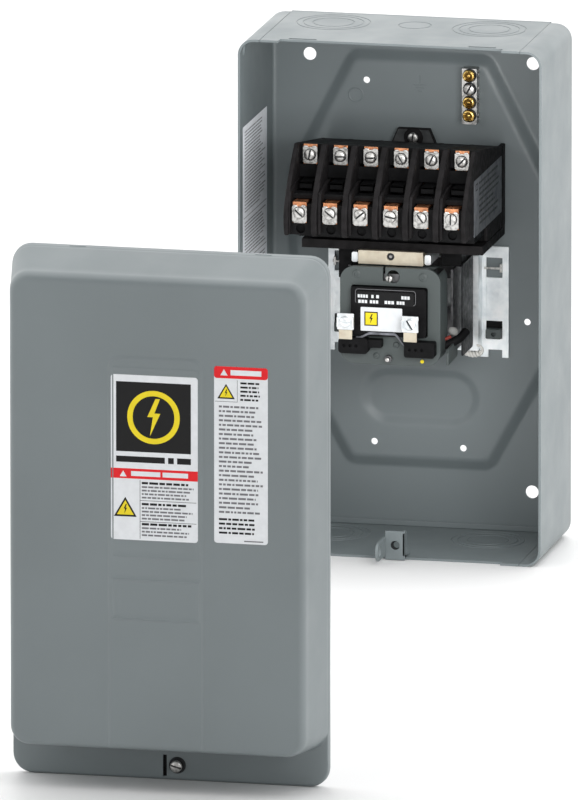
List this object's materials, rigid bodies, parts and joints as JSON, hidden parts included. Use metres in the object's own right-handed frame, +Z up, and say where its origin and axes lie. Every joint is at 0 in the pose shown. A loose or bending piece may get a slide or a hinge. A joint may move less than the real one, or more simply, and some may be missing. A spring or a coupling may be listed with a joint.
{
  "type": "enclosed magnetic contactor",
  "caption": "Magnetic contactor with side-by-side poles and a coil, in a grey sheet-steel wall enclosure with a lift-off cover",
  "frame": {"origin": "middle of the enclosure's underside, on the surface it stands on", "axes": "+Z up, +Y towards the wall, +X to the right seen from the front"},
  "size_m": [0.212, 0.807, 0.356],
  "materials": {
    "enclosure_paint": "baked grey enamel, satin, light orange peel",
    "magnet_paint": "dark grey enamel",
    "black_phenolic": "moulded black phenolic, low sheen",
    "copper": "bare copper strip",
    "tinned_metal": "bright tin or silver plating, lightly scratched",
    "brass": "bright brass",
    "zinc_plate": "zinc-plated steel, faint yellow and blue",
    "dark_steel": "oiled dark steel",
    "label": "printed vinyl label"
  },
  "bodies": {
    "enclosure": {"enclosure_shell": "enclosure_paint", "top_end_plate": "enclosure_paint", "bottom_end_plate": "enclosure_paint", "cover_hasp_bracket": "enclosure_paint", "ground_bar": "tinned_metal", "ground_screw_1": "brass", "ground_screw_2": "tinned_metal", "ground_screw_3": "brass", "ground_screw_4": "brass", "mounting_plate": "zinc_plate", "magnet_bracket": "dark_steel", "contactor_base": "black_phenolic", "contactor_base_screw": "zinc_plate", "pole_block_1": "black_phenolic", "line_terminal_1": "copper", "load_terminal_1": "copper", "line_screw_1": "tinned_metal", "load_screw_1": "tinned_metal", "pole_block_2": "black_phenolic", "line_terminal_2": "copper", "load_terminal_2": "copper", "line_screw_2": "tinned_metal", "load_screw_2": "tinned_metal", "pole_block_3": "black_phenolic", "line_terminal_3": "copper", "load_terminal_3": "copper", "line_screw_3": "tinned_metal", "load_screw_3": "tinned_metal", "pole_block_4": "black_phenolic", "line_terminal_4": "copper", "load_terminal_4": "copper", "line_screw_4": "tinned_metal", "load_screw_4": "tinned_metal", "pole_block_5": "black_phenolic", "line_terminal_5": "copper", "load_terminal_5": "copper", "line_screw_5": "tinned_metal", "load_screw_5": "tinned_metal", "pole_block_6": "black_phenolic", "line_terminal_6": "copper", "load_terminal_6": "copper", "line_screw_6": "tinned_metal", "load_screw_6": "tinned_metal", "return_spring": "dark_steel", "magnet_cover": "magnet_paint", "magnet_core": "dark_steel", "coil": "black_phenolic", "coil_terminal_left": "zinc_plate", "coil_terminal_right": "zinc_plate"},
    "cover": {"cover_shell": "enclosure_paint"},
    "screw_retainer": {"cover_screw_retainer": "dark_steel"},
    "cover_screw": {"cover_screw": "dark_steel"},
    "moving_contacts": {"contact_carrier": "black_phenolic", "armature": "zinc_plate", "contact_bridge_1": "tinned_metal", "contact_bridge_2": "tinned_metal", "contact_bridge_3": "tinned_metal", "contact_bridge_4": "tinned_metal", "contact_bridge_5": "tinned_metal", "contact_bridge_6": "tinned_metal"}
  },
  "joints": [
    {"name": "cover_removal", "type": "slide", "parent": "enclosure", "child": "cover", "axis": [0, 1, 0], "range_m": [0, 0.6587]},
    {"name": "cover_screw_advance", "type": "slide", "parent": "cover", "child": "screw_retainer", "axis": [0, 1, 0], "range_m": [0, 0.00238]},
    {"name": "cover_screw_turn", "type": "hinge", "parent": "screw_retainer", "child": "cover_screw", "pos_m": [0.0048, -0.715, 0.0104], "axis": [0, 1, 0], "range_deg": [0, 1080]},
    {"name": "armature_pull", "type": "slide", "parent": "enclosure", "child": "moving_contacts", "axis": [0, 0, -1], "range_m": [0, 0.0045], "stiffness_N_per_m": 1000, "springref_m": -0.01, "deforming": ["return_spring"]}
  ],
  "couplings": [
    {"joint": "cover_screw_turn", "follows": "cover_screw_advance", "rad_per_m": 7920}
  ]
}
